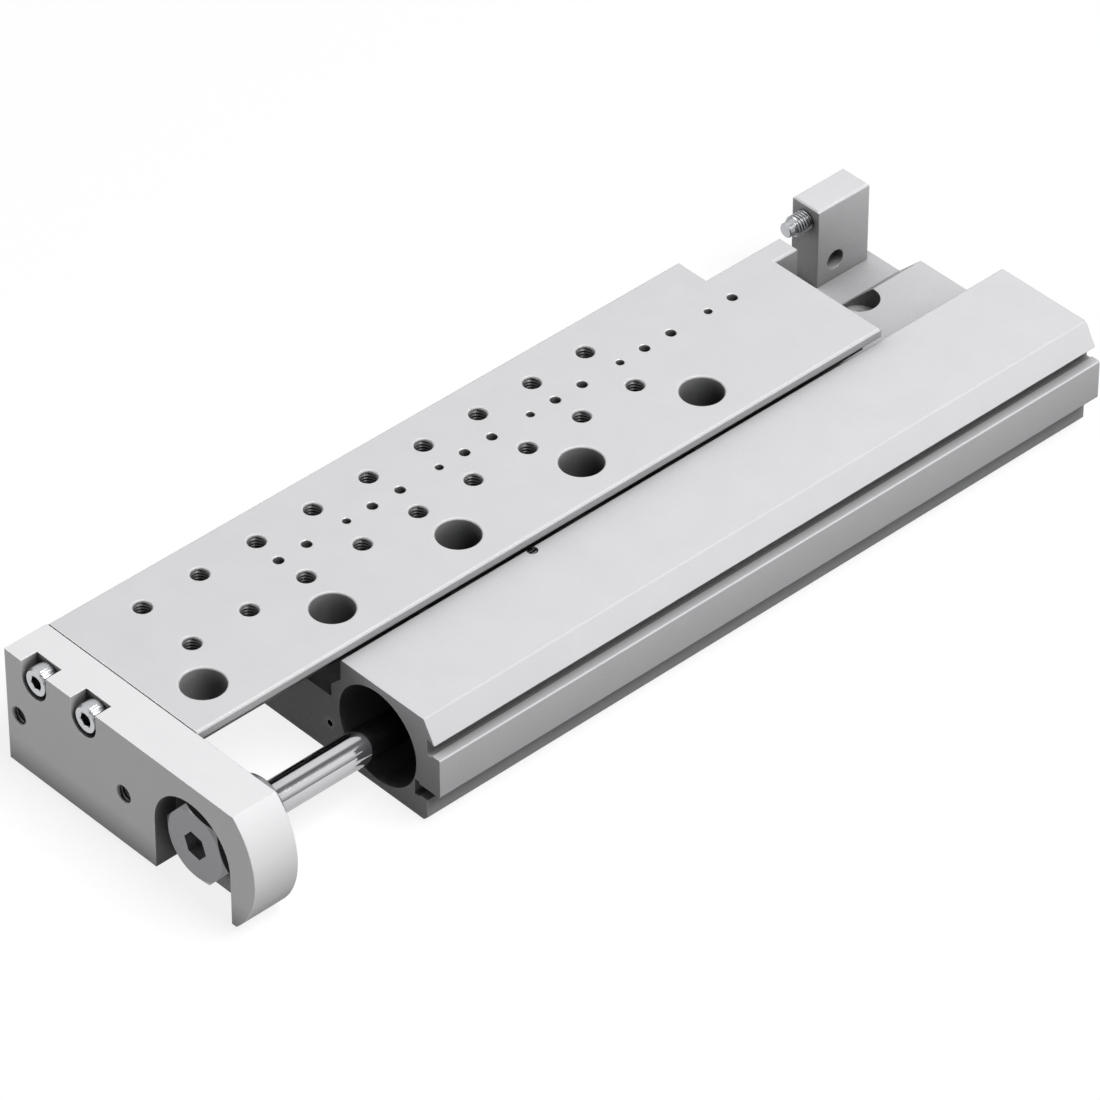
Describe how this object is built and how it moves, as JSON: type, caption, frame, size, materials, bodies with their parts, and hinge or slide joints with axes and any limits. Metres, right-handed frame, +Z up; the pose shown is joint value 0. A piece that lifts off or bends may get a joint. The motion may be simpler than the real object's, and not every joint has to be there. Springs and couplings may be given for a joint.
{
  "type": "miniature linear slide",
  "caption": "Flat pneumatic slide table: drilled slide plate on a ball-cage guide beside a cylinder, tied to the piston rod by a yoke plate at the front.",
  "frame": {"origin": "centre of the housing's flat mounting face", "axes": "+X the way the slide and yoke extend, +Y from the guide to the cylinder, +Z up, out of the mounting face through the slide's top"},
  "size_m": [0.2495, 0.0793, 0.031],
  "materials": {
    "anodised_aluminium": "clear anodised satin",
    "milled_block": "milled, clear anodised",
    "cap_aluminium": "turned",
    "ground_steel": "hardened and ground",
    "screw_steel": "zinc plated",
    "plated_steel": "turned and nickel plated",
    "chromed_rod": "hard chromed and polished",
    "bronze": "plain",
    "seal_rubber": "moulded",
    "bumper_rubber": "moulded",
    "magnet": "bonded ferrite",
    "guide_plastic": "moulded"
  },
  "bodies": {
    "housing": {"housing": "anodised_aluminium", "left_raceway": "ground_steel", "right_raceway": "ground_steel", "raceway_screws": "screw_steel", "stop_block": "milled_block", "stop_block_screw": "screw_steel", "stop_block_pin": "screw_steel", "front_cap": "cap_aluminium", "rod_bush": "bronze", "rod_wiper": "seal_rubber", "front_cap_ring": "seal_rubber", "front_bumper": "bumper_rubber", "front_circlip": "screw_steel", "rear_cap": "cap_aluminium", "rear_cap_ring": "seal_rubber", "rear_bumper": "bumper_rubber", "rear_circlip": "screw_steel", "duct_plug": "screw_steel", "cushion_screw": "screw_steel"},
    "slide": {"slide_plate": "anodised_aluminium", "yoke_plate": "anodised_aluminium", "yoke_screws": "screw_steel", "guide_rail": "ground_steel", "rail_screws": "screw_steel", "rail_pins": "screw_steel", "piston_rod": "chromed_rod", "rod_end_screw": "plated_steel", "rod_collar": "plated_steel", "piston": "cap_aluminium", "piston_seals": "seal_rubber", "piston_magnet": "magnet", "piston_guide_ring": "guide_plastic", "piston_screw": "screw_steel"},
    "ball_cage": {"cage": "bronze", "guide_balls": "chromed_rod"},
    "stop_screw": {"stop_screw": "screw_steel"}
  },
  "joints": [
    {"name": "slide_travel", "type": "slide", "parent": "housing", "child": "slide", "axis": [1, 0, 0], "range_m": [-0.029, 0.051]},
    {"name": "cage_travel", "type": "slide", "parent": "housing", "child": "ball_cage", "axis": [1, 0, 0], "range_m": [-0.0145, 0.0255]},
    {"name": "stop_adjust", "type": "slide", "parent": "housing", "child": "stop_screw", "axis": [1, 0, 0], "range_m": [-0.005, 0]}
  ],
  "couplings": [
    {"joint": "cage_travel", "follows": "slide_travel", "ratio": 0.5}
  ]
}
